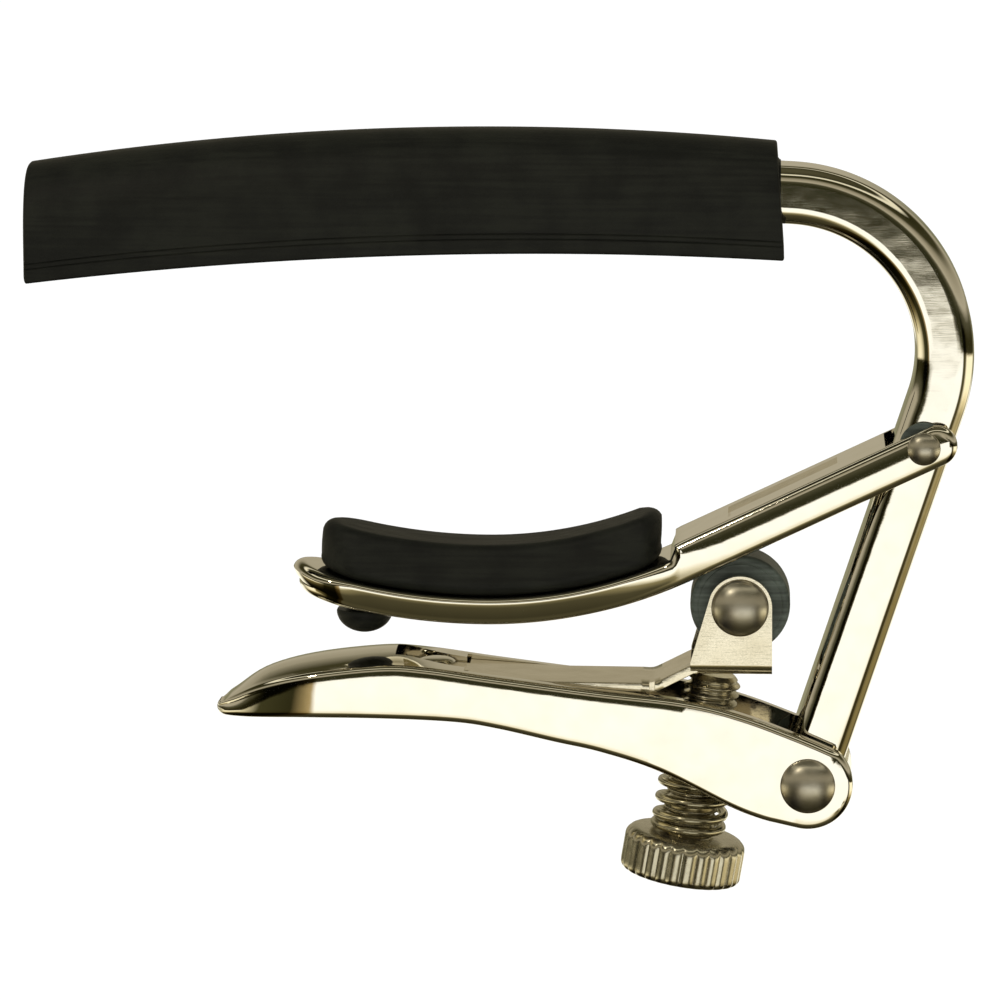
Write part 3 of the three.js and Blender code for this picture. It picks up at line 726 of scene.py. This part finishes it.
lever = body_of("hand_lever_forging", *skin(forging(
    lever_top, lever_low, plan_rounded(LEVER_HALF, (TIP_LEFT, TIP_TAPER, -1)),
    lambda x: LEVER_RIM * min(1, 0.5 + 0.5 * max(0, x - TIP_LEFT) / 2), bulge=0.03,
    crown=lever_crown)))

SCREW_LEAN, SCREW_FOOT = math.radians(9.5), flat(11.2, -49.8)
screw_up = flat(math.sin(SCREW_LEAN), math.cos(SCREW_LEAN))
screw_right = flat(screw_up.y, -screw_up.x)
WEB_UNDER, WEB_THICK = 4.7, 2.2


def on_screw(right, up):
    return SCREW_FOOT + screw_right * right + screw_up * up


def along_screw(a, b, h):
    p = on_screw(a, h)
    return p.x, b, p.y


STRIP_THICK, TONGUE_LEFT = 0.8, -13.9


def strip_top(x):
    t = min(1, max(0, (x - TONGUE_LEFT) / (-0.8 - TONGUE_LEFT)))
    return -36.55 - 0.85 * t - 0.05 * max(0, (x + 0.8) / 8.7)


def strip_bed(x, gap):
    return flat(x, strip_top(x) - STRIP_THICK - gap)


channel_wide = 2 * (LEVER_HALF - WALL)
web_top = WEB_UNDER + WEB_THICK
channel = prism([flat(-5, -30), flat(-5, -38.6), flat(-1.5, -39.9), on_screw(-7, web_top + 0.6),
                 on_screw(-4.2, web_top), flat(16.4, on_screw(4.2, web_top).y), flat(16.4, -60),
                 flat(30, -60), flat(30, -30)], channel_wide)
below = prism([on_screw(-9, WEB_UNDER), on_screw(12, WEB_UNDER), flat(30, -60), flat(2, -60)],
              channel_wide)
slot = prism([strip_bed(-8.4, 0.3), strip_bed(-4.9, 0.6), flat(-4.9, -30), flat(-8.4, -30)], 7.4)
pocket = prism([strip_bed(-14.4, 0.1), strip_bed(-8.3, 0.3), flat(-8.3, -30),
                flat(-14.4, -30)], 4.5)
STRIP_RIVET_X, STRIP_HOLE = -11.0, 0.98


def strip_hole():
    """a tool for the hole of the strip's rivet"""
    return drill(upright(STRIP_RIVET_X), STRIP_HOLE, -45, -30, 32)


SCREW_HOLE = 2.48
screw_hole = drill(along_screw, SCREW_HOLE, 0, 9, 48)
combine(lever, "DIFFERENCE", channel, below, slot, pocket, rod(LEVER_PIVOT, LEVER_BORE),
        screw_hole, strip_hole())
finish(lever, "hand_lever", "nickel_plate", bright_nickel, "lever")


# ---- spring strip with the roller's clevis ----------------------------------------------
# Spring steel, sheared to shape, bent up at a knee and folded into a clevis, then plated.
# Shearing leaves its long edges rough. A small rivet holds its tongue in the lever.
# plated over rolled steel: a fairly clear mirror, broken by the lines of the rolling
sheared_strip = plated("plated_spring_strip", "#e9e2cf", "#cfc6ae", 0.1, 0.2, wave=0.02,
                       hair=0.004, grain=0.12)
KNEE, HEEL, CLEVIS_LOW, SHEET = flat(7.9, -37.45), flat(11.2, -35.85), -36.7, 0.85
CLEVIS_RIGHT, CLEVIS_HALF, STRIP_HALF, TONGUE_HALF = 18.25, 3.8, 3.55, 1.9
ROLLER, EAR_R, FOLD_R = flat(15.45, -30.72), 2.75, 1.0
EDGE, EAR_HIGH = 0.07, 9

strip_x = [-8.1, -6.8, -5.5, -4.2, -3, -0.8, 3.5]
upper = [flat(x, strip_top(x)) for x in strip_x]
upper += curve([flat(6.9, strip_top(6.9)), KNEE, flat(8.7, -37.12)], 5)
upper += [HEEL, flat(HEEL.x + 0.6, HEEL.y)]
normals = outward(upper, 1)
under = [p - n * STRIP_THICK for p, n in zip(upper, normals)]
carrier = body_of("spring_strip_clevis", *skin(forging(
    upper, under, plan_straight(STRIP_HALF), EDGE, rims=2, rows=2)))
tongue_x = [TONGUE_LEFT + TONGUE_HALF * (1 - math.cos(math.pi / 2 * i / 8)) for i in range(9)]
tongue_x += [-11, -10, -9, -7.4]
tongue = body_of("tool", *skin(forging(
    [flat(x, strip_top(x)) for x in tongue_x], [strip_bed(x, 0) for x in tongue_x],
    plan_rounded(TONGUE_HALF, (TONGUE_LEFT, TONGUE_HALF, -1)), EDGE, rims=2, rows=2)))


def fold(half, r, high):
    """half of a U section, from its middle to the top of one side"""
    turns = [math.pi / 2 * i / 8 for i in range(9)]
    bend_points = [(half - r + r * math.sin(a), r - r * math.cos(a)) for a in turns]
    return [(0, 0)] + bend_points + [(half, high)]


outer = fold(CLEVIS_HALF, FOLD_R, EAR_HIGH)
inner = [(y, h + SHEET) for y, h in fold(CLEVIS_HALF - SHEET, FOLD_R - SHEET, EAR_HIGH - SHEET)]
u_shape = outer + inner[::-1]
u_shape = u_shape[1:-1] + [(-y, h) for y, h in reversed(u_shape[1:-1])]
u_bend = body_of("tool", *skin([[(x, y, CLEVIS_LOW + h) for y, h in u_shape]
                                for x in (HEEL.x, CLEVIS_RIGHT)]))
ears = prism([flat(HEEL.x - 0.01, CLEVIS_LOW - 1), flat(CLEVIS_RIGHT + 0.01, CLEVIS_LOW - 1)]
             + arc(ROLLER, EAR_R, 0, 158, 28) + [flat(HEEL.x - 0.01, CLEVIS_LOW + 1.1)], 9)
combine(u_bend, "INTERSECT", ears)
u_bend.name = "clevis"
notch = body_of("tool", *skin([[(x, -STRIP_HALF + y, z) for x, y in
                                ((7.5, -1), (8.3, -1), (8.1, 0.35), (7.7, 0.35))]
                               for z in (-40, -35)]))
combine(carrier, "UNION", tongue, u_bend)
combine(carrier, "DIFFERENCE", notch, rod(ROLLER, 1.3), strip_hole())
finish(carrier, "carrier", "spring_strip", sheared_strip, "roller_carrier")

head_z = strip_top(STRIP_RIVET_X - 1.7) + 0.18
low_z = -40.95
small = turned("strip_rivet", [
    (0, low_z - 0.45), (0.5, low_z - 0.42), (0.95, low_z - 0.33), (1.3, low_z - 0.18),
    (1.55, low_z), (1.5, low_z + 0.15), (0.9, low_z + 0.2), (0.9, head_z), (1.62, head_z),
    (1.7, head_z + 0.08), (1.5, head_z + 0.25), (1.1, head_z + 0.38), (0.6, head_z + 0.44),
    (0, head_z + 0.45)],
    upright(STRIP_RIVET_X), 48)
finish(small, "hand_lever", "rivet_steel", bright_nickel, "carrier_rivet")


# ---- roller ---------------------------------------------------------------------------
# Black nylon, turned with rounded rims, on a plated steel rivet; a steel bush between the
# ears keeps the clevis from pinching it.
ROLLER_R, ROLLER_HALF, ROLLER_BORE, ROLLER_ROUND = 4.32, 2.5, 1.95, 0.5


def tyre(side):
    turns = [math.pi / 2 * i / 6 for i in range(7)]
    rim = [(ROLLER_R - ROLLER_ROUND + ROLLER_ROUND * math.sin(a),
            side * (ROLLER_HALF - ROLLER_ROUND + ROLLER_ROUND * math.cos(a))) for a in turns]
    return [(ROLLER_BORE, side * (ROLLER_HALF - 0.12)), (ROLLER_BORE + 0.12, side * ROLLER_HALF),
            (3.55, side * ROLLER_HALF), (3.62, side * (ROLLER_HALF - 0.05))] + rim


turned_roller = turned("roller_wheel", tyre(-1) + tyre(1)[::-1], across_y(ROLLER), 96, ring=True)
finish(turned_roller, "roller_wheel", "black_nylon", black_nylon, "roller")
rivet("roller_rivet", ROLLER, 1.25, 2.48, 1.35, 3.85, "carrier", "roller_pin")
bush = turned("roller_spacer", [(1.3, -2.9), (1.77, -2.9), (1.85, -2.82), (1.85, 2.82),
                                (1.77, 2.9), (1.3, 2.9)], across_y(ROLLER), 48, ring=True)
finish(bush, "carrier", "rivet_steel", struck_steel, "roller_bush")


# ---- adjuster -------------------------------------------------------------------------
# A brass thumbscrew, its head fluted by rolling and its shank threaded 4.8 mm by 0.794 mm,
# nickel plated. A plated wire spring under the lever keeps it from turning by itself.
# nickel over rolled brass: a satin gleam that catches on each flute
fluted_nickel = plated("fluted_nickel_brass", "#dcd6c3", "#bdb7a2", 0.22, 0.28, wave=0.008,
                       hair=0.0006, grain=0.6)
KNOB_R, KNOB_TOP, KNOB_LOW, SHOULDER, FLUTES, FLUTE_DEEP = 5.3, -1.7, -5.5, 0.95, 28, 0.26
SHANK_R, PITCH, THREAD_DEEP, TIP_AT, TIP_CHAMFER = 2.38, 0.794, 0.42, 12.75, 0.6
ROUND = 512


def knob_ring(r, h, cut):
    ring = []
    for i in range(ROUND):
        a = 2 * math.pi * i / ROUND
        lean = 0.06 * math.sin(3 * a) + 0.05 * math.sin(7 * a + 1)
        wave = abs(math.sin(FLUTES * (a + lean * 0.2) / 2))
        deep = FLUTE_DEEP * cut * (1 - wave) ** 1.3 * (0.85 + 0.15 * math.sin(5 * a))
        ring.append(along_screw((r - deep) * math.cos(a), (r - deep) * math.sin(a), h))
    return ring


KNOB_LIP = 0.55                    # the rounding of its lower rim
flat_r = KNOB_R - SHOULDER
knob = [(0.0, KNOB_LOW, 0), (flat_r - 0.6, KNOB_LOW, 0), (flat_r, KNOB_LOW, 0)]
for i in range(1, 7):
    a = math.pi / 2 * i / 6
    knob.append((KNOB_R - KNOB_LIP * (1 - math.sin(a)), KNOB_LOW + KNOB_LIP * (1 - math.cos(a)),
                 math.sin(a)))
rim_tall = KNOB_TOP - SHOULDER - KNOB_LOW - KNOB_LIP
knob += [(KNOB_R, KNOB_LOW + KNOB_LIP + rim_tall * i / 8, 1) for i in range(1, 9)]
for i in range(1, 9):
    a = math.pi / 2 * i / 8
    knob.append((KNOB_R - SHOULDER * (1 - math.cos(a)), KNOB_TOP - SHOULDER * (1 - math.sin(a)),
                 max(0, 1 - 1.4 * i / 8)))
knob += [(3.4, KNOB_TOP, 0), (2.0, KNOB_TOP, 0), (0.0, KNOB_TOP, 0)]
head = body_of("thumbscrew_head", *skin([knob_ring(*row) for row in knob], capped=False))


THREAD_SIDES = 72


def thread_ring(h, limit):
    ring = []
    for i in range(THREAD_SIDES):
        turn = i / THREAD_SIDES
        part = (h / PITCH - turn) % 1
        wave = 0.5 + 0.5 * math.cos(2 * math.pi * part)
        r = min(limit, SHANK_R - THREAD_DEEP * (1 - wave))
        ring.append(along_screw(r * math.cos(2 * math.pi * turn),
                                r * math.sin(2 * math.pi * turn), h))
    return ring


PER_TURN, BURIED = 24, 0.3          # rows per turn of thread, and how deep it starts in the head
thread_long = TIP_AT - KNOB_TOP + BURIED
count = int(thread_long / PITCH * PER_TURN)
rows = [KNOB_TOP - BURIED + thread_long * i / count for i in range(count + 1)]
thread = [thread_ring(h, SHANK_R - max(0, h - (TIP_AT - TIP_CHAMFER))) for h in rows]
shank = body_of("tool", *skin(thread))
combine(head, "UNION", shank)
finish(head, "screw", "knurled_nickel", fluted_nickel, "thumbscrew")

# drawn and plated wire: a satin highlight that runs round with the coil
drawn_wire = plated("plated_spring_wire", "#cfc9b4", "#a8a28d", 0.14, 0.24, wave=0.01,
                    hair=0.004, grain=0.1)
WIRE_R, COIL_R, WIRE_SIDES, COIL_STEPS = 0.4, 2.9, 14, 40
SPRING_LOW, SPRING_HIGH = KNOB_TOP + 0.05 + WIRE_R, WEB_UNDER - 0.05 - WIRE_R
CLOSED, OPEN_TURNS = 1.1, 2.5      # turns that lie flat at each end, and turns between them


def coil_height(turn):
    """how high the wire is after so many turns"""
    rise = 2.1 * WIRE_R
    open_pitch = (SPRING_HIGH - SPRING_LOW - 2 * CLOSED * rise) / OPEN_TURNS
    low = min(turn, CLOSED)
    middle = min(max(turn - CLOSED, 0), OPEN_TURNS)
    top = max(turn - CLOSED - OPEN_TURNS, 0)
    return SPRING_LOW + (low + top) * rise + middle * open_pitch


turns = 2 * CLOSED + OPEN_TURNS
coil = []
steps = int(turns * COIL_STEPS)
for i in range(steps + 1):
    turn = turns * i / steps
    a = 2 * math.pi * turn + 2.4
    near = min(i, steps - i) / 3
    r = WIRE_R * (0.35 + 0.65 * min(1, near)) if near < 1 else WIRE_R
    loop = []
    for k in range(WIRE_SIDES):
        b = 2 * math.pi * k / WIRE_SIDES
        out = COIL_R + r * math.cos(b)
        loop.append(along_screw(out * math.cos(a), out * math.sin(a),
                                coil_height(turn) + r * math.sin(b)))
    coil.append(loop)
spring = body_of("adjuster_coil_spring", *skin(coil))
tidy(spring.data)
spring.data.shade_smooth()
spring.data.materials.append(drawn_wire)
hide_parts("adjuster_spring")
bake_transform(spring)
